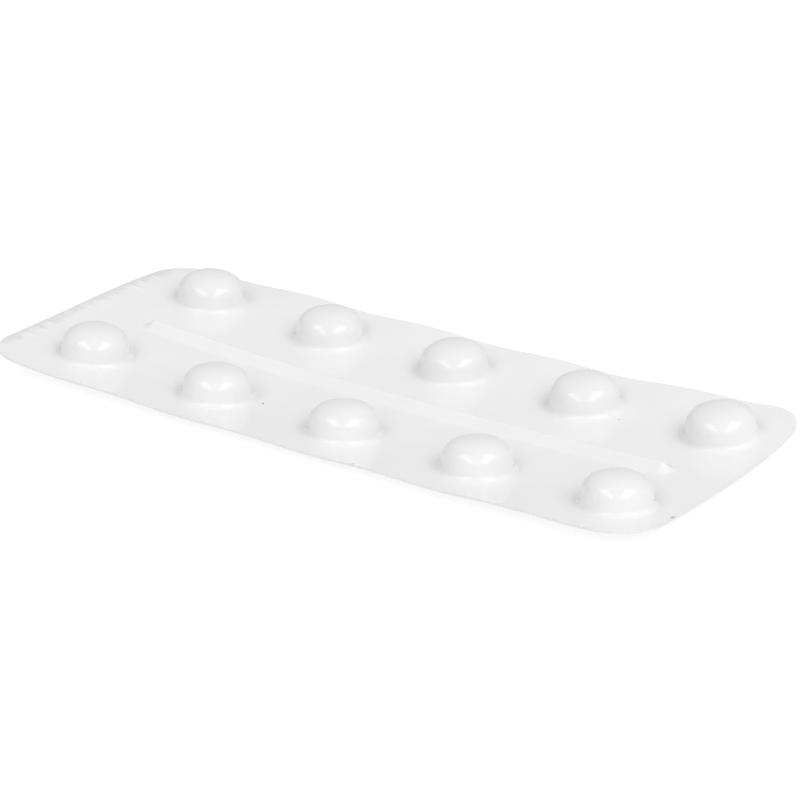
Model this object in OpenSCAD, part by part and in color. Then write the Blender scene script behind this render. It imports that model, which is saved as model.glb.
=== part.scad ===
// Blister strip of tablets: one sealed, opaque strip lying on its flat side,
// with two rows of domed pockets, a stiffening rib between the rows,
// and a film that has curled up at its ends, edges and corners.
// Millimetres. The origin is the middle of the underside, +X runs along the
// strip and +Z points up through the pockets.

/* [Pockets] */
// Number of pockets in a row
columns = 5; // [2:1:8]
// Distance between pocket centres along the strip
pitch = 18; // [12:0.5:24]
// Distance between the centre lines of the two rows
row_pitch = 22.2; // [16:0.2:30]
// Radius of a pocket's crown at its widest
pocket_r = 3.96; // [2.5:0.02:4.6]
// Height of a pocket above the film
pocket_h = 3.78; // [3:0.02:6]
// Height above the film at which the crown would be widest
crown_base = 1.1; // [0.8:0.1:2.2]
// How square the crown is: 2 is an ellipse, more has a flatter top
crown_power = 2.4; // [2:0.05:3.5]
// Angle that the wall under the crown leans inwards
wall_lean = 6; // [2:1:16]
// Radius of the fillet between the wall and the film
foot_r = 0.8; // [0.4:0.1:1.1]

/* [Film] */
// Thickness of the film with its backing
film_t = 0.28; // [0.2:0.02:0.6]
// From the centre of the first pocket to the left end, which carries the stamped strip
stamped_margin = 10.8; // [8:0.1:16]
// From the centre of the last pocket to the right end
end_margin = 7.2; // [6.6:0.1:14]
// From a row's centre line to the long edge beside it
side_margin = 8.2; // [6.6:0.1:14]
// Radius of the rounded corners
corner_r = 5.5; // [2:0.1:6]

/* [Rib] */
// Height of the rib above the film
rib_h = 1; // [0.2:0.05:1.5]
// Width of the rib across its foot
rib_w = 3.4; // [1.6:0.1:4.4]
// How hollow the flanks of the rib are: 1 is straight
rib_power = 1.8; // [1.2:0.1:2.5]
// How far the rib runs past the centres of the first pockets
rib_left_overrun = 1.6; // [-2:0.1:3]
// How far the rib runs past the centres of the last pockets
rib_right_overrun = 0.5; // [-2:0.1:3]
// How far the rib lies behind the middle line of the strip
rib_shift = 0.2; // [-0.5:0.1:0.5]

/* [Curl] */
// Length of the middle that stays flat on the table
flat_l = 9; // [6:0.5:30]
// Width of the middle that stays flat on the table
flat_w = 4; // [3:0.2:12]
// Rise of the middle of the left end
left_rise = 2.15; // [0:0.05:4]
// Rise of the middle of the right end
right_rise = 1.1; // [0:0.05:4]
// Rise of the middle of the front edge
front_rise = 1.05; // [0:0.05:3]
// Rise of the middle of the back edge
back_rise = 1; // [0:0.05:3]
// Height of the left front corner
left_front_rise = 2.2; // [0:0.05:5]
// Height of the right front corner
right_front_rise = 1.95; // [0:0.05:5]
// Height of the left back corner
left_back_rise = 0.95; // [0:0.05:5]
// Height of the right back corner
right_back_rise = 2.9; // [0:0.05:5]
// Extra rise of the front edge between two pockets
front_wave = 0.22; // [0:0.02:0.5]
// Extra rise of the back edge between two pockets
back_wave = 0.3; // [0:0.02:0.5]

/* [Hidden] */
film_white = [0.93, 0.93, 0.93];

// Divisions along each side of the field of film around one pocket
side_n = 8;
ring_n = 4 * side_n;
// Rings in the crown, in the fillet and in the film around the pocket
crown_n = 6;
foot_n = 3;
field_n = 2;
// Divisions across the rib
rib_n = 8;
// Share of the rib's half width over which its crest is rounded
crest_soft = 0.12;
// Distance either side of a place over which the slope of the film is taken
slope_reach = 0.5;

strip_l = stamped_margin + (columns - 1) * pitch + end_margin;
strip_w = row_pitch + 2 * side_margin;
first_x = stamped_margin - strip_l / 2;
last_x = strip_l / 2 - end_margin;
rib_half = rib_w / 2;
rib_start = first_x - rib_left_overrun;
rib_end = last_x + rib_right_overrun;

// Edges of the fields, which share the film evenly between the pockets
function field_edge(i) =
    i == 0 ? -strip_l / 2 :
    i == columns ? strip_l / 2 :
    first_x + (i - 0.5) * pitch;
function row_y(row) = (row - 0.5) * row_pitch;
rib_front = rib_shift - rib_half;
rib_back = rib_shift + rib_half;

function mix(a, b, t) = a * (1 - t) + b * t;

// Share of a rise that is reached at distance s from the middle, for a strip
// of the given half size and a flat part of the given half size
function bend(s, half, flat_half) =
    pow(max(0, abs(s) - flat_half) / (half - flat_half), 2);

// Height of the underside at a place
function curl(x, y) =
    let (
        along = bend(x, strip_l / 2, flat_l / 2),
        across = bend(y, strip_w / 2, flat_w / 2),
        end_rise = x < 0 ? left_rise : right_rise,
        side_rise = y < 0 ? front_rise : back_rise,
        corner_rise = x < 0
            ? (y < 0 ? left_front_rise : left_back_rise)
            : (y < 0 ? right_front_rise : right_back_rise),
        wave = (y < 0 ? front_wave : back_wave) * (1 - cos(360 * (x - first_x) / pitch)) / 2
    )
    end_rise * along + (side_rise + wave) * across
        + (corner_rise - end_rise - side_rise) * along * across;

function underside(p) = [p.x, p.y, curl(p.x, p.y)];
function topside(p) = [p.x, p.y, curl(p.x, p.y) + film_t];

// Direction square to the film at a place
function square_to_film(x, y) =
    let (
        s = slope_reach,
        slope_x = (curl(x + s, y) - curl(x - s, y)) / (2 * s),
        slope_y = (curl(x, y + s) - curl(x, y - s)) / (2 * s),
        v = [-slope_x, -slope_y, 1]
    )
    v / norm(v);

// Moves a point of the outline onto the round corner that it falls in
function round_corner(p) =
    let (
        cx = strip_l / 2 - corner_r,
        cy = strip_w / 2 - corner_r,
        d = [max(0, abs(p.x) - cx), max(0, abs(p.y) - cy)]
    )
    d.x == 0 || d.y == 0 ? p :
        let (q = corner_r * d / norm(d)) [sign(p.x) * (cx + q.x), sign(p.y) * (cy + q.y)];

// Places along the edge that a field shares with the rib's strip of film.
// At both ends of the rib they gather on its round end.
function rib_side_x(i, g) =
    let (
        a = field_edge(i),
        b = field_edge(i + 1),
        gather = 1 - cos(90 * (g - 2) / (side_n - 4))
    )
    i > 0 && i < columns - 1 || g == 0 || g == side_n ? mix(a, b, g / side_n) :
    i == 0
        ? (g == 1 ? (a + rib_start) / 2 :
           g == side_n - 1 ? (rib_start + rib_half + b) / 2 :
           rib_start + rib_half * gather)
        : (g == side_n - 1 ? (b + rib_end) / 2 :
           g == 1 ? (rib_end - rib_half + a) / 2 :
           rib_end - rib_half * (1 - cos(90 * (side_n - 2 - g) / (side_n - 4))));

// Outer point k of the field of film around one pocket, anticlockwise from its
// left front corner
function field_point(i, row, k) =
    let (
        n = side_n,
        side = floor(k / n),
        g = k - side * n,
        gx = side == 0 ? g : side == 1 ? n : side == 2 ? n - g : 0,
        gy = side == 0 ? 0 : side == 1 ? g : side == 2 ? n : n - g,
        y0 = row == 0 ? -strip_w / 2 : rib_back,
        y1 = row == 0 ? rib_front : strip_w / 2,
        on_rib = row == 0 ? gy == n : gy == 0,
        x = on_rib ? rib_side_x(i, gx) : mix(field_edge(i), field_edge(i + 1), gx / n)
    )
    round_corner([x, mix(y0, y1, gy / n)]);

// Half section of a pocket: a crown, a leaning wall and a fillet onto the film.
// The crown ends where it leans as the wall does.
crown_h = pocket_h - crown_base;
crown_end = atan(pow(tan(wall_lean) * crown_h / pocket_r, crown_power / (2 * crown_power - 2)));
function crown_point(a) =
    [pocket_r * pow(cos(a), 2 / crown_power), crown_base + crown_h * pow(sin(a), 2 / crown_power)];
wall_top = crown_point(crown_end);
fillet_top = foot_r * (1 - sin(wall_lean));
foot = wall_top.x + (wall_top.y - fillet_top) * tan(wall_lean) + foot_r * cos(wall_lean);

// The section from its top to the film: distance out, height
pocket_section = concat(
    [for (j = [1:crown_n]) crown_point(mix(90, crown_end, j / crown_n))],
    [for (j = [foot_n:-1:0])
        let (a = (90 - wall_lean) * j / foot_n)
        [foot - foot_r * sin(a), foot_r * (1 - cos(a))]]
);

// All rings of one pocket and its field, from the top outwards
function pocket_rings(i, row) =
    let (
        c = [first_x + i * pitch, row_y(row)],
        up = square_to_film(c.x, c.y),
        around = [for (k = [0:ring_n - 1])
            let (a = 360 * k / ring_n - 135) [cos(a), sin(a)]]
    )
    concat(
        [for (s = pocket_section) [for (w = around) topside(c + s.x * w) + s.y * up]],
        [for (t = [1:field_n]) [for (k = [0:ring_n - 1])
            topside(mix(c + foot * around[k], field_point(i, row, k), t / field_n))]]
    );

// The film between two closed rings of points, the inner ring first
function band(inner, outer) =
    [for (k = [0:len(inner) - 1])
        let (m = (k + 1) % len(inner))
        each [[inner[k], inner[m], outer[m]], [inner[k], outer[m], outer[k]]]];
function fan(centre, ring) =
    [for (k = [0:len(ring) - 1]) [centre, ring[(k + 1) % len(ring)], ring[k]]];

function pocket_faces(i, row) =
    let (
        c = [first_x + i * pitch, row_y(row)],
        top = topside(c) + pocket_h * square_to_film(c.x, c.y),
        rings = pocket_rings(i, row)
    )
    concat(
        fan(top, rings[0]),
        [for (j = [0:len(rings) - 2]) each band(rings[j], rings[j + 1])]
    );

// Underside of one field: its outer ring, a ring halfway in, and the middle
function field_underside(i, row) =
    let (
        c = [first_x + i * pitch, row_y(row)],
        edge = [for (k = [0:ring_n - 1]) field_point(i, row, k)],
        outer = [for (p = edge) underside(p)],
        inner = [for (p = edge) underside((p + c) / 2)]
    )
    concat(
        [for (f = fan(underside(c), inner)) [f[0], f[2], f[1]]],
        [for (f = band(inner, outer)) [f[0], f[2], f[1]]]
    );

// Height of the rib above the film
function rib_height(x, y) =
    let (
        past = max(0, rib_start + rib_half - x, x - rib_end + rib_half),
        d = min(1, norm([past, y - rib_shift]) / rib_half),
        s = (norm([d, crest_soft]) - crest_soft) / (norm([1, crest_soft]) - crest_soft)
    )
    rib_h * pow(max(0, 1 - s), rib_power);

// The strip of film that carries the rib, on the lines that its neighbours share
rib_xs = concat(
    [for (i = [0:columns - 1], g = [0:side_n - 1]) rib_side_x(i, g)],
    [strip_l / 2]
);
rib_ys = [for (j = [0:rib_n]) mix(rib_front, rib_back, j / rib_n)];
function rib_point(x, y) = topside([x, y]) + [0, 0, rib_height(x, y)];

rib_faces = [for (i = [0:len(rib_xs) - 2], j = [0:rib_n - 1])
    let (
        a = rib_point(rib_xs[i], rib_ys[j]),
        b = rib_point(rib_xs[i + 1], rib_ys[j]),
        c = rib_point(rib_xs[i + 1], rib_ys[j + 1]),
        d = rib_point(rib_xs[i], rib_ys[j + 1])
    )
    each [[a, c, b], [a, d, c]]];

// Underside of the rib's strip; its two end pieces meet every point of the rim
rib_underside = concat(
    [for (i = [1:len(rib_xs) - 3])
        let (
            a = underside([rib_xs[i], rib_front]),
            b = underside([rib_xs[i + 1], rib_front]),
            c = underside([rib_xs[i + 1], rib_back]),
            d = underside([rib_xs[i], rib_back])
        )
        each [[a, b, c], [a, c, d]]],
    [for (j = [0:rib_n - 1])
        [
            underside([rib_xs[1], rib_front]),
            underside([rib_xs[0], rib_ys[j + 1]]),
            underside([rib_xs[0], rib_ys[j]])
        ]],
    [[underside([rib_xs[1], rib_front]), underside([rib_xs[1], rib_back]),
      underside([rib_xs[0], rib_back])]],
    let (n = len(rib_xs) - 1) concat(
        [for (j = [0:rib_n - 1])
            [
                underside([rib_xs[n - 1], rib_front]),
                underside([rib_xs[n], rib_ys[j]]),
                underside([rib_xs[n], rib_ys[j + 1]])
            ]],
        [[underside([rib_xs[n - 1], rib_front]), underside([rib_xs[n], rib_back]),
          underside([rib_xs[n - 1], rib_back])]]
    )
);

// The outline, anticlockwise from the left front corner
outline = concat(
    [for (i = [0:columns - 1], k = [0:side_n - 1]) field_point(i, 0, k)],
    [for (k = [0:side_n - 1]) field_point(columns - 1, 0, side_n + k)],
    [for (j = [0:rib_n - 1]) [strip_l / 2, rib_ys[j]]],
    [for (k = [0:side_n - 1]) field_point(columns - 1, 1, side_n + k)],
    [for (i = [columns - 1:-1:0], k = [0:side_n - 1]) field_point(i, 1, 2 * side_n + k)],
    [for (k = [0:side_n - 1]) field_point(0, 1, 3 * side_n + k)],
    [for (j = [rib_n:-1:1]) [-strip_l / 2, rib_ys[j]]],
    [for (k = [0:side_n - 1]) field_point(0, 0, 3 * side_n + k)]
);
rim_faces = band(
    [for (p = outline) topside(p)],
    [for (p = outline) underside(p)]
);

module blister_strip() {
    faces = concat(
        [for (row = [0:1], i = [0:columns - 1])
            each concat(pocket_faces(i, row), field_underside(i, row))],
        rib_faces,
        rib_underside,
        rim_faces
    );
    color(film_white)
        polyhedron(
            points = [for (f = faces) each f],
            faces = [for (n = [0:len(faces) - 1]) [3 * n, 3 * n + 1, 3 * n + 2]],
            convexity = 4
        );
}

blister_strip();
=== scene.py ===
"""A blister strip of tablets: opaque white glossy film with two rows of domed pockets,
lying on its foil backing on a pale floor."""

import math

import bpy
import bmesh
import numpy as np
from mathutils import Matrix, Vector


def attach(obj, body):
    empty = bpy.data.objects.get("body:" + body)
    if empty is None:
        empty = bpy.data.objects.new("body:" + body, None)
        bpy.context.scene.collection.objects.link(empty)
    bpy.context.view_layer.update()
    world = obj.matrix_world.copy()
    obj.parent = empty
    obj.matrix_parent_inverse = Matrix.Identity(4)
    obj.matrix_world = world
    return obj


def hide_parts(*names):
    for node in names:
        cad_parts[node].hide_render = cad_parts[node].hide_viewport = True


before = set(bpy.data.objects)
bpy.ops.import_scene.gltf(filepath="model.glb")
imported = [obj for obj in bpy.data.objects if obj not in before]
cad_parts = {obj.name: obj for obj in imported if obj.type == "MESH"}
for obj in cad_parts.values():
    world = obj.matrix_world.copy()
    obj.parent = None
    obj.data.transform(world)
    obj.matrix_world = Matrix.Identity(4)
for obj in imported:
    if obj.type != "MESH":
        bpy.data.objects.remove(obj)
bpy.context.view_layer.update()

MM = 0.001

# The strip, in millimetres, as the construction has it
COLUMNS = 5
PITCH = 18.0
ROW_PITCH = 22.2
POCKET_R = 3.96
POCKET_H = 3.78
CROWN_BASE = 1.1
CROWN_POWER = 2.4
WALL_LEAN = math.radians(6)
FOOT_R = 0.8
FILM_T = 0.28
STAMPED_MARGIN = 10.8
END_MARGIN = 7.2
SIDE_MARGIN = 8.2
CORNER_R = 5.5
RIB_H = 1.0
RIB_W = 3.4
RIB_LEFT_OVERRUN = 1.6
RIB_RIGHT_OVERRUN = 0.5
RIB_SHIFT = 0.2
RIB_POWER = 1.8
CREST_SOFT = 0.12
FLAT_L = 9.0
FLAT_W = 4.0
LEFT_RISE = 2.15
RIGHT_RISE = 1.1
FRONT_RISE = 1.05
BACK_RISE = 1.0
LEFT_FRONT_RISE = 2.2
RIGHT_FRONT_RISE = 1.95
LEFT_BACK_RISE = 0.95
RIGHT_BACK_RISE = 2.9
FRONT_WAVE = 0.22
BACK_WAVE = 0.3

HALF_L = (STAMPED_MARGIN + (COLUMNS - 1) * PITCH + END_MARGIN) / 2
HALF_W = ROW_PITCH / 2 + SIDE_MARGIN
FIRST_X = STAMPED_MARGIN - HALF_L
LAST_X = HALF_L - END_MARGIN
RIB_HALF = RIB_W / 2
RIB_START = FIRST_X - RIB_LEFT_OVERRUN
RIB_END = LAST_X + RIB_RIGHT_OVERRUN

# The crown of a pocket turns into the wall where it leans as the wall does
CROWN_H = POCKET_H - CROWN_BASE
CROWN_TURN = CROWN_POWER / (2 * CROWN_POWER - 2)
CROWN_END = math.atan((math.tan(WALL_LEAN) * CROWN_H / POCKET_R) ** CROWN_TURN)

# The foil is the lowest part of the thickness
FOIL_T = 0.03

# Stamped bars on the left margin, in a row across the strip with one place left empty.
# A bar rises over a short start and fades out, the sooner the weaker it is.
BAR_COUNT = 13
BAR_EMPTY = 5
BAR_PITCH = 2.2
BAR_FIRST_Y = -12.0
BAR_FROM_X = -44.8
BAR_TO_X = -41.4
BAR_HALF = 0.55
BAR_H = 0.16
BAR_START = 0.5
BAR_SHORTEST = 0.4
BAR_WEAKEST = 0.35
BAR_SHIFT = 0.25
BAR_SEED = 5

# How strong each bar is, as a share of the most, and its place across the strip
draws = np.random.default_rng(BAR_SEED)
BAR_STRENGTH = draws.uniform(BAR_WEAKEST, 1, BAR_COUNT)
BAR_STRENGTH[BAR_EMPTY] = 0
BAR_OFFSET = draws.uniform(-BAR_SHIFT, BAR_SHIFT, BAR_COUNT)
BAR_Y = BAR_FIRST_Y + BAR_PITCH * np.arange(BAR_COUNT) + BAR_OFFSET


def share_past(s, half, flat_half):
    """Share of a rise that is reached at distance s from the middle."""
    return (np.maximum(0, np.abs(s) - flat_half) / (half - flat_half)) ** 2


def curl(x, y):
    """Height of the strip's underside."""
    along = share_past(x, HALF_L, FLAT_L / 2)
    across = share_past(y, HALF_W, FLAT_W / 2)
    end = np.where(x < 0, LEFT_RISE, RIGHT_RISE)
    side = np.where(y < 0, FRONT_RISE, BACK_RISE)
    corner = np.where(
        x < 0,
        np.where(y < 0, LEFT_FRONT_RISE, LEFT_BACK_RISE),
        np.where(y < 0, RIGHT_FRONT_RISE, RIGHT_BACK_RISE),
    )
    wave = np.where(y < 0, FRONT_WAVE, BACK_WAVE) * (1 - np.cos(2 * np.pi * (x - FIRST_X) / PITCH)) / 2
    return end * along + (side + wave) * across + (corner - end - side) * along * across


def square_to_film(x, y, step=0.5):
    """Unit direction square to the strip at one place."""
    slope_x = (curl(x + step, y) - curl(x - step, y)) / (2 * step)
    slope_y = (curl(x, y + step) - curl(x, y - step)) / (2 * step)
    v = np.array([-float(slope_x), -float(slope_y), 1.0])
    return v / np.linalg.norm(v)


def rib_height(x, y):
    """Height of the rib, with hollow flanks and a softly rounded crest."""
    past = np.maximum(0, np.maximum(RIB_START + RIB_HALF - x, x - RIB_END + RIB_HALF))
    d = np.minimum(1, np.hypot(past, y - RIB_SHIFT) / RIB_HALF)
    s = (np.hypot(d, CREST_SOFT) - CREST_SOFT) / (math.hypot(1, CREST_SOFT) - CREST_SOFT)
    return RIB_H * np.maximum(0, 1 - s) ** RIB_POWER


def bar_height(x, y):
    """Height of the stamped bars, highest near the edge and fading out along the strip."""
    nearest = np.abs(np.asarray(y)[..., None] - BAR_Y).argmin(-1)
    strength = BAR_STRENGTH[nearest]
    across = np.minimum(1, np.abs(y - BAR_Y[nearest]) / BAR_HALF)
    reach = (BAR_TO_X - BAR_FROM_X) * (BAR_SHORTEST + (1 - BAR_SHORTEST) * strength)
    along = np.clip(1 - (x - BAR_FROM_X) / reach, 0, 1)
    start = np.clip((x - BAR_FROM_X) / BAR_START, 0, 1)
    return BAR_H * strength * start * along * (1 + np.cos(np.pi * across)) / 2


def half_width(x):
    """Half the strip's width at x, less in the round corners."""
    into = np.clip(np.abs(x) - (HALF_L - CORNER_R), 0, CORNER_R)
    return HALF_W - CORNER_R + np.sqrt(CORNER_R**2 - into**2)


def on_strip(x, y, height):
    """Points above the underside by a height that the function height gives."""
    return np.stack([x, y, curl(x, y) + height(x, y)], -1)


def film_height(x, y):
    return FILM_T + rib_height(x, y) + bar_height(x, y)


# The film is laid out as ten fields with a pocket in each, two margins and the rib's band.
# Seams of triangles join them where their lines of points don't meet.
MARGIN_IN = 3.8
SEAM = 0.4
LEFT_SEAM = -HALF_L + MARGIN_IN
FIELDS_FROM = LEFT_SEAM + SEAM
FIELDS_TO = HALF_L - MARGIN_IN
FRONT_SEAM = RIB_SHIFT - RIB_HALF - SEAM
BACK_SEAM = RIB_SHIFT + RIB_HALF + SEAM

# Lines of the stamped margin are straight up to here, over the bars, and bend further out
BEND_FROM = 12.9

# How finely the surface is divided: points on a field's side, rings and lines of points
SIDE_N = 26
CROWN_RINGS = 18
FOOT_RINGS = 10
FIELD_RINGS = 8
FLAT_RINGS = 4
RIB_COLUMNS = 420
FLAT_RIB_COLUMNS = 60
RIB_ROWS = 33
MARGIN_COLUMNS = 41
STAMPED_ROWS = 49
ROWS_PER_BAR = 9
ROW_CLEARANCE = 0.1

# Points this close are one, in metres, and faces smaller than this have no area
WELD = 0.0005 * MM
NO_AREA = 1e-16
SHARP = math.radians(40)


def field_edges(i):
    """Where one column's field begins and ends along the strip."""
    a = FIELDS_FROM if i == 0 else FIRST_X + (i - 0.5) * PITCH
    b = FIELDS_TO if i == COLUMNS - 1 else FIRST_X + (i + 0.5) * PITCH
    return a, b


def lerp(a, b, t):
    return a * (1 - t) + b * t


def field_outline(i, row):
    """Points around one field, anticlockwise from its left front corner."""
    a, b = field_edges(i)
    t = np.arange(SIDE_N) / SIDE_N
    x = np.concatenate([lerp(a, b, t), np.full(SIDE_N, b), lerp(b, a, t), np.full(SIDE_N, a)])
    share = np.concatenate([np.zeros(SIDE_N), t, np.ones(SIDE_N), 1 - t])
    if row == 0:
        y = lerp(-half_width(x), np.full_like(x, FRONT_SEAM), share)
    else:
        y = lerp(np.full_like(x, BACK_SEAM), half_width(x), share)
    return x, y


def crown_point(a):
    """Distance out and height on a pocket's crown, at the angle a from its base."""
    out = POCKET_R * max(0.0, math.cos(a)) ** (2 / CROWN_POWER)
    return out, CROWN_BASE + CROWN_H * max(0.0, math.sin(a)) ** (2 / CROWN_POWER)


def pocket_section(flat):
    """Distance out and height of each ring, from the top of a pocket to the film."""
    wall_r, wall_h = crown_point(CROWN_END)
    foot_h = FOOT_R * (1 - math.sin(WALL_LEAN))
    foot_r = wall_r + (wall_h - foot_h) * math.tan(WALL_LEAN) + FOOT_R * math.cos(WALL_LEAN)
    if flat:
        return [(foot_r * j / FLAT_RINGS, 0.0) for j in range(1, FLAT_RINGS + 1)]
    rings = []
    for j in range(1, CROWN_RINGS + 1):
        rings.append(crown_point(lerp(math.pi / 2, CROWN_END, j / CROWN_RINGS)))
    for j in range(FOOT_RINGS + 1):
        a = (math.pi / 2 - WALL_LEAN) * (1 - j / FOOT_RINGS)
        rings.append((foot_r - FOOT_R * math.sin(a), FOOT_R * (1 - math.cos(a))))
    return rings


def field_patches(i, row, flat, height):
    """The pocket and the film around it, as closed rings from the middle outwards."""
    cx, cy = FIRST_X + i * PITCH, (row - 0.5) * ROW_PITCH
    up = square_to_film(cx, cy)
    around = 2 * np.pi * np.arange(4 * SIDE_N) / (4 * SIDE_N) - 0.75 * np.pi
    section = pocket_section(flat)
    rings = []
    for out, rise in [(0.0, 0.0 if flat else POCKET_H), *section]:
        x, y = cx + out * np.cos(around), cy + out * np.sin(around)
        rings.append(on_strip(x, y, height) + rise * up)
    foot = section[-1][0]
    ex, ey = field_outline(i, row)
    for j in range(1, FIELD_RINGS + 1):
        t = j / FIELD_RINGS
        x = lerp(cx + foot * np.cos(around), ex, t)
        y = lerp(cy + foot * np.sin(around), ey, t)
        rings.append(on_strip(x, y, height))
    rings = np.array(rings)
    return np.concatenate([rings, rings[:, :1]], 1)


def margin_columns():
    """Distances of the margins' lines from the middle, close together where the corner is steep."""
    reach = math.acos((CORNER_R - MARGIN_IN) / CORNER_R)
    return HALF_L - CORNER_R + CORNER_R * np.cos(np.linspace(0, reach, MARGIN_COLUMNS))


def stamped_rows():
    """Places of the lines along the stamped margin where it meets the fields, close over the bars."""
    end = half_width(LEFT_SEAM)
    over = (BAR_Y[:, None] + BAR_HALF * np.linspace(-1, 1, ROWS_PER_BAR)).ravel()
    plain = np.linspace(-end, end, STAMPED_ROWS)
    clear = np.abs(plain[:, None] - over).min(1) > ROW_CLEARANCE
    return np.sort(np.concatenate([over, plain[clear]]))


def bend_rows(rows, x):
    """The lines keep straight over the bars and squeeze into the round corners."""
    past = np.maximum(0, np.abs(rows) - BEND_FROM)
    squeeze = (half_width(x) - BEND_FROM) / (half_width(LEFT_SEAM) - BEND_FROM)
    return np.sign(rows) * (np.minimum(np.abs(rows), BEND_FROM) + past * squeeze)


def strip_surface(flat, height):
    """All patches and seams of one face of the strip, as grids and pairs of lines."""
    patches = [field_patches(i, row, flat, height) for row in (0, 1) for i in range(COLUMNS)]

    rib_x = np.linspace(FIELDS_FROM, FIELDS_TO, FLAT_RIB_COLUMNS if flat else RIB_COLUMNS)
    rib_y = np.linspace(FRONT_SEAM + SEAM, BACK_SEAM - SEAM, RIB_ROWS)
    patches.append(on_strip(*np.meshgrid(rib_x, rib_y), height))

    t = np.arange(SIDE_N + 1) / SIDE_N
    line_x = np.unique(np.concatenate([lerp(*field_edges(i), t) for i in range(COLUMNS)]).round(9))
    across_y = np.concatenate([
        lerp(-half_width(FIELDS_TO), FRONT_SEAM, t),
        rib_y,
        lerp(BACK_SEAM, half_width(FIELDS_TO), t),
    ])
    right_x = margin_columns()[None, ::-1]
    right_y = (across_y / half_width(FIELDS_TO))[:, None] * half_width(right_x)
    patches.append(on_strip(np.broadcast_to(right_x, right_y.shape), right_y, height))

    left_x = -margin_columns()[None, :]
    left_y = bend_rows(stamped_rows()[:, None], left_x)
    patches.append(on_strip(np.broadcast_to(left_x, left_y.shape), left_y, height))

    from_y = np.concatenate([
        lerp(-half_width(FIELDS_FROM), FRONT_SEAM, t),
        rib_y,
        lerp(BACK_SEAM, half_width(FIELDS_FROM), t),
    ])
    seams = [
        (line_x, FRONT_SEAM, rib_x, rib_y[0]),
        (rib_x, rib_y[-1], line_x, BACK_SEAM),
        (FIELDS_FROM, from_y, LEFT_SEAM, left_y[:, -1]),
    ]
    lines = []
    for x0, y0, x1, y1 in seams:
        lines.append((
            on_strip(*np.broadcast_arrays(x0, y0), height),
            on_strip(*np.broadcast_arrays(x1, y1), height),
        ))
    return patches, lines


def add_patch(bm, points):
    """Four-sided faces over a grid of points."""
    rows = [[bm.verts.new(p) for p in row] for row in points]
    for r0, r1 in zip(rows, rows[1:]):
        for a, b, c, d in zip(r0, r0[1:], r1[1:], r1):
            bm.faces.new((a, b, c, d))


def add_seam(bm, left, right):
    """Triangles between two lines of points that run the same way at different steps."""
    axis = int(np.ptp(left[:, 1]) > np.ptp(left[:, 0]))
    p = [bm.verts.new(v) for v in left]
    q = [bm.verts.new(v) for v in right]
    i = j = 0
    while i < len(p) - 1 or j < len(q) - 1:
        if j == len(q) - 1 or (i < len(p) - 1 and left[i + 1][axis] < right[j + 1][axis]):
            bm.faces.new((p[i], p[i + 1], q[j]))
            i += 1
        else:
            bm.faces.new((p[i], q[j + 1], q[j]))
            j += 1


def close_rim(bm):
    """Faces between the two outlines, whose points lie one above the other."""

    def plan(v):
        return round(v.co.x, 7), round(v.co.y, 7)

    pairs = {}
    for edge in [e for e in bm.edges if e.is_boundary]:
        ends = sorted(edge.verts, key=plan)
        pairs.setdefault((plan(ends[0]), plan(ends[1])), []).append(ends)
    for (a, b), (c, d) in pairs.values():
        bm.faces.new((a, b, d, c)).material_index = 1


def closed_strip(name, low, high, flat):
    """A closed piece of the strip between two heights above the underside."""
    bm = bmesh.new()
    for plain, height in ((flat, high), (True, low)):
        patches, lines = strip_surface(plain, height)
        for patch in patches:
            add_patch(bm, patch * MM)
        for left, right in lines:
            add_seam(bm, left * MM, right * MM)
    bmesh.ops.remove_doubles(bm, verts=bm.verts, dist=WELD)
    collapsed = [f for f in bm.faces if f.calc_area() < NO_AREA]
    bmesh.ops.delete(bm, geom=collapsed, context="FACES_ONLY")
    close_rim(bm)
    bmesh.ops.recalc_face_normals(bm, faces=bm.faces)
    mesh = bpy.data.meshes.new(name)
    bm.to_mesh(mesh)
    bm.free()
    mesh.shade_smooth()
    mesh.set_sharp_from_angle(angle=SHARP)
    piece = bpy.data.objects.new(name, mesh)
    bpy.context.scene.collection.objects.link(piece)
    return piece


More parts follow.
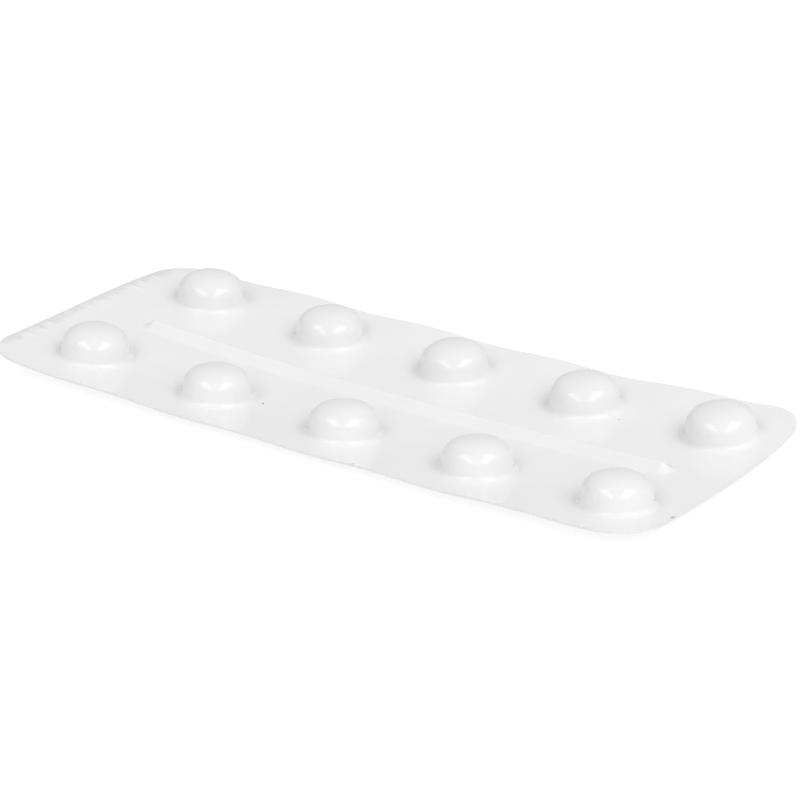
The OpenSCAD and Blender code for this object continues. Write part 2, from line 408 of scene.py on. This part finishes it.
class Shader:
    """A material's node tree, with short ways to add and join its nodes."""

    def __init__(self, name):
        self.material = bpy.data.materials.new(name)
        self.material.use_nodes = True
        self.tree = self.material.node_tree
        self.surface = self.tree.nodes["Principled BSDF"]
        self.place = self.add("ShaderNodeTexCoord").outputs["Object"]

    def add(self, kind, **settings):
        node = self.tree.nodes.new(kind)
        for key, value in settings.items():
            setattr(node, key, value)
        return node

    def join(self, source, target):
        self.tree.links.new(source, target)

    def noise(self, grain, detail=2.0, stretch=None):
        """Noise with patches of about the size grain, in millimetres."""
        place = self.place
        if stretch:
            stretched = self.add("ShaderNodeMapping")
            stretched.inputs["Scale"].default_value = stretch
            self.join(place, stretched.inputs["Vector"])
            place = stretched.outputs["Vector"]
        noise = self.add("ShaderNodeTexNoise")
        noise.inputs["Scale"].default_value = 1 / (grain * MM)
        noise.inputs["Detail"].default_value = detail
        self.join(place, noise.inputs["Vector"])
        return noise.outputs["Fac"]

    def spread(self, value, low, high, from_low=0.3, from_high=0.7):
        """A value, such as a noise, spread over the range low to high."""
        node = self.add("ShaderNodeMapRange")
        ends = {"From Min": from_low, "From Max": from_high, "To Min": low, "To Max": high}
        for name, number in ends.items():
            node.inputs[name].default_value = number
        self.join(value, node.inputs["Value"])
        return node.outputs["Result"]

    def mix(self, share, a, b):
        """Colour a where share is 0, b where it is 1. Each is a colour or another node's output."""
        node = self.add("ShaderNodeMix", data_type="RGBA")
        self.join(share, node.inputs["Factor"])
        for socket, value in ((node.inputs["A"], a), (node.inputs["B"], b)):
            if isinstance(value, tuple):
                socket.default_value = value
            else:
                self.join(value, socket)
        return node.outputs["Result"]

    def bump(self, height, depth, under=None):
        """Raises the surface by up to depth millimetres where height is 1."""
        node = self.add("ShaderNodeBump")
        node.inputs["Distance"].default_value = depth * MM
        self.join(height, node.inputs["Height"])
        if under:
            self.join(under, node.inputs["Normal"])
        return node.outputs["Normal"]


def grey(value):
    return (value, value, value, 1)


# Specks on the film and marks at its edge: place along and across the strip, radius, grey
SPECKS = [
    (-10.84, -9.4, 0.16, 0.03),
    (25.27, 9.65, 0.1, 0.03),
    (8.83, -19.15, 0.3, 0.55),
    (44.9, -11.2, 0.45, 0.5),
]

# Painted shade: the stamped band is painted greyer, standing in for the shade along that edge, as far
# as its ragged border, which wanders by up to RAGGED
SHADE_BAND_TO_X = -42.6
RAGGED = 3.6

# The film is drawn out fully over this share of a crown
DRAWN_SHARE = 0.6


def film_material():
    """Glossy opaque white film, a little greyer where it was drawn out over the tablets, with painted
    shade over the stamped band.
    """
    s = Shader("glossy_white_film")
    drawn = s.add("ShaderNodeAttribute", attribute_name="drawn").outputs["Fac"]
    cloud = s.spread(s.noise(6.0), 0.0, 1.0)
    colour = s.mix(cloud, grey(0.825), grey(0.84))
    colour = s.mix(drawn, colour, grey(0.785))
    # Painted shade: the stamped band at the left end is painted darker grey where shade falls along
    # that edge
    along = s.add("ShaderNodeSeparateXYZ")
    s.join(s.place, along.inputs[0])
    ragged = s.add("ShaderNodeMath", operation="MULTIPLY_ADD")
    s.join(s.noise(1.1, stretch=(0.25, 1.0, 1.0)), ragged.inputs[0])
    ragged.inputs[1].default_value = RAGGED * MM
    s.join(along.outputs["X"], ragged.inputs[2])
    painted_band_shade = s.spread(ragged.outputs["Value"], 1.0, 0.0, SHADE_BAND_TO_X * MM, BAR_TO_X * MM)
    colour = s.mix(painted_band_shade, colour, grey(0.73))
    for x, y, radius, shade in SPECKS:
        far = s.add("ShaderNodeVectorMath", operation="DISTANCE")
        flat = s.add("ShaderNodeVectorMath", operation="MULTIPLY")
        flat.inputs[1].default_value = (1, 1, 0)
        s.join(s.place, flat.inputs[0])
        s.join(flat.outputs["Vector"], far.inputs[0])
        far.inputs[1].default_value = (x * MM, y * MM, 0)
        share = s.spread(far.outputs["Value"], 1.0, 0.0, 0.6 * radius * MM, radius * MM)
        colour = s.mix(share, colour, grey(shade))
    s.join(colour, s.surface.inputs["Base Color"])
    s.join(s.spread(s.noise(2.5), 0.07, 0.12), s.surface.inputs["Roughness"])
    ripple = s.bump(s.noise(5.0, detail=1.0), 0.015)
    s.join(s.bump(s.noise(0.35), 0.0008, ripple), s.surface.inputs["Normal"])
    s.surface.inputs["IOR"].default_value = 1.53
    return s.material


def cut_edge_material():
    """The cut through film and foil: duller and greyer, with fine marks from the punch."""
    s = Shader("cut_edge")
    marks = s.noise(0.15, stretch=(1.0, 1.0, 0.1))
    s.join(s.mix(marks, grey(0.78), grey(0.88)), s.surface.inputs["Base Color"])
    s.join(s.bump(marks, 0.02), s.surface.inputs["Normal"])
    s.surface.inputs["Roughness"].default_value = 0.5
    return s.material


def foil_material():
    """Plain aluminium foil, with the faint streaks of its rolling along the strip."""
    s = Shader("aluminium_foil")
    streaks = s.noise(0.25, detail=4.0, stretch=(0.04, 1.0, 1.0))
    s.join(s.mix(streaks, (0.72, 0.73, 0.75, 1), (0.84, 0.84, 0.85, 1)), s.surface.inputs["Base Color"])
    s.join(s.spread(streaks, 0.28, 0.4), s.surface.inputs["Roughness"])
    s.join(s.bump(s.noise(1.8), 0.01, s.bump(streaks, 0.002)), s.surface.inputs["Normal"])
    s.surface.inputs["Metallic"].default_value = 1
    return s.material


def mark_drawn(piece):
    """Stores how far each point of the film was drawn up, from the foot of a crown to its top."""
    points = np.empty(len(piece.data.vertices) * 3)
    piece.data.vertices.foreach_get("co", points)
    x, y, z = (points.reshape(-1, 3) / MM).T
    up = z - curl(x, y) - FILM_T - rib_height(x, y)
    share = np.clip((up - CROWN_BASE) / (DRAWN_SHARE * CROWN_H), 0, 1)
    piece.data.attributes.new("drawn", "FLOAT", "POINT").data.foreach_set("value", share)


film = closed_strip("film", lambda x, y: 0 * x + FOIL_T, film_height, False)
mark_drawn(film)
film.data.materials.append(film_material())
foil = closed_strip("backing_foil", lambda x, y: 0 * x, lambda x, y: 0 * x + FOIL_T, True)
foil.data.materials.append(foil_material())
for piece, slot in ((film, "film"), (foil, "backing")):
    piece.data.materials.append(cut_edge_material())
    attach(piece, "root")
    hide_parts("blister_strip")


# Camera, at the photograph's angle. The distance and the place it looks at are in millimetres.
FOCAL_PX = 3567.0
FRAME_PX = 800
AZIMUTH = math.radians(34.82)
ELEVATION = math.radians(22.84)
ROLL = math.radians(0.2)
DISTANCE = 410.47
AIM = Vector((1.11, 0.95, 0.34))


def add_camera():
    """A camera that frames the strip as the photograph does."""
    data = bpy.data.cameras.new("camera")
    data.sensor_width = 36.0
    data.lens = FOCAL_PX / FRAME_PX * data.sensor_width
    data.clip_start = 0.01
    cam = bpy.data.objects.new("camera", data)
    turn = (
        Matrix.Rotation(AZIMUTH, 4, "Z")
        @ Matrix.Rotation(math.pi / 2 - ELEVATION, 4, "X")
        @ Matrix.Rotation(ROLL, 4, "Z")
    )
    cam.matrix_world = Matrix.Translation((AIM + turn @ Vector((0, 0, DISTANCE))) * MM) @ turn
    bpy.context.scene.collection.objects.link(cam)
    bpy.context.scene.camera = cam


# The floor, in metres: half its width, and how far it lies below the strip
FLOOR_HALF = 3.0
FLOOR_DROP = 0.00002

# The floor's grey in the light on the strip, and its grey and glow as the camera sees it
FLOOR_GREY = 0.8
FLOOR_SEEN = 0.25
FLOOR_GLOW = 0.88


def add_floor():
    """A pale floor, white for the camera where nothing throws a shadow on it."""
    mesh = bpy.data.meshes.new("floor")
    corners = [(x * FLOOR_HALF, y * FLOOR_HALF, 0) for x, y in ((-1, -1), (1, -1), (1, 1), (-1, 1))]
    mesh.from_pydata(corners, [], [(0, 1, 2, 3)])
    floor = bpy.data.objects.new("floor", mesh)
    floor.location.z = -FLOOR_DROP
    bpy.context.scene.collection.objects.link(floor)
    material = bpy.data.materials.new("pale_floor")
    material.use_nodes = True
    nodes, links = material.node_tree.nodes, material.node_tree.links
    nodes.clear()
    out = nodes.new("ShaderNodeOutputMaterial")
    path = nodes.new("ShaderNodeLightPath")
    plain = nodes.new("ShaderNodeBsdfDiffuse")
    plain.inputs["Color"].default_value = grey(FLOOR_GREY)
    seen = nodes.new("ShaderNodeBsdfDiffuse")
    seen.inputs["Color"].default_value = grey(FLOOR_SEEN)
    glow = nodes.new("ShaderNodeEmission")
    glow.inputs["Strength"].default_value = FLOOR_GLOW
    add = nodes.new("ShaderNodeAddShader")
    mix = nodes.new("ShaderNodeMixShader")
    links.new(seen.outputs[0], add.inputs[0])
    links.new(glow.outputs[0], add.inputs[1])
    links.new(path.outputs["Is Camera Ray"], mix.inputs[0])
    links.new(plain.outputs[0], mix.inputs[1])
    links.new(add.outputs[0], mix.inputs[2])
    links.new(mix.outputs[0], out.inputs["Surface"])
    mesh.materials.append(material)


def add_world(level, to_right, to_front):
    """White for the camera; on the strip a soft room, a little brighter in front and on the right."""
    world = bpy.data.worlds.new("studio")
    bpy.context.scene.world = world
    world.use_nodes = True
    nodes, links = world.node_tree.nodes, world.node_tree.links
    back = nodes["Background"]
    back.inputs["Color"].default_value = grey(1)
    where = nodes.new("ShaderNodeTexCoord")
    along = nodes.new("ShaderNodeVectorMath")
    along.operation = "DOT_PRODUCT"
    brighter = Vector((to_right, -to_front, 0))
    along.inputs[1].default_value = Matrix.Rotation(AZIMUTH, 3, "Z") @ brighter
    room = nodes.new("ShaderNodeMath")
    room.inputs[1].default_value = level
    path = nodes.new("ShaderNodeLightPath")
    mix = nodes.new("ShaderNodeMix")
    mix.data_type = "FLOAT"
    mix.inputs["B"].default_value = 1.0
    links.new(where.outputs["Generated"], along.inputs[0])
    links.new(along.outputs["Value"], room.inputs[0])
    links.new(path.outputs["Is Camera Ray"], mix.inputs["Factor"])
    links.new(room.outputs["Value"], mix.inputs["A"])
    links.new(mix.outputs["Result"], back.inputs["Strength"])


# The two softboxes, in metres: their height, distance to the side and reach to the front
LIGHT_UP = 1.0
LIGHT_OUT = 0.72
LIGHT_FROM = 0.1
LIGHT_TO = 2.1


def add_strip_light(name, side, width, power):
    """A long softbox overhead, in line with the view, on one side of the strip."""
    data = bpy.data.lights.new(name, "AREA")
    data.shape = "RECTANGLE"
    data.size, data.size_y = width, LIGHT_TO - LIGHT_FROM
    data.energy = power
    lamp = bpy.data.objects.new(name, data)
    turn = Matrix.Rotation(AZIMUTH, 4, "Z")
    middle = Vector((side * LIGHT_OUT, -(LIGHT_FROM + LIGHT_TO) / 2, LIGHT_UP))
    lamp.matrix_world = Matrix.Translation(turn @ middle) @ turn
    bpy.context.scene.collection.objects.link(lamp)


add_camera()
add_floor()
add_world(0.7, 0.12, 0.08)
add_strip_light("left_softbox", -1, 0.6, 7.9)
add_strip_light("right_softbox", 1, 0.75, 11.4)

bpy.context.scene.view_settings.view_transform = "Standard"
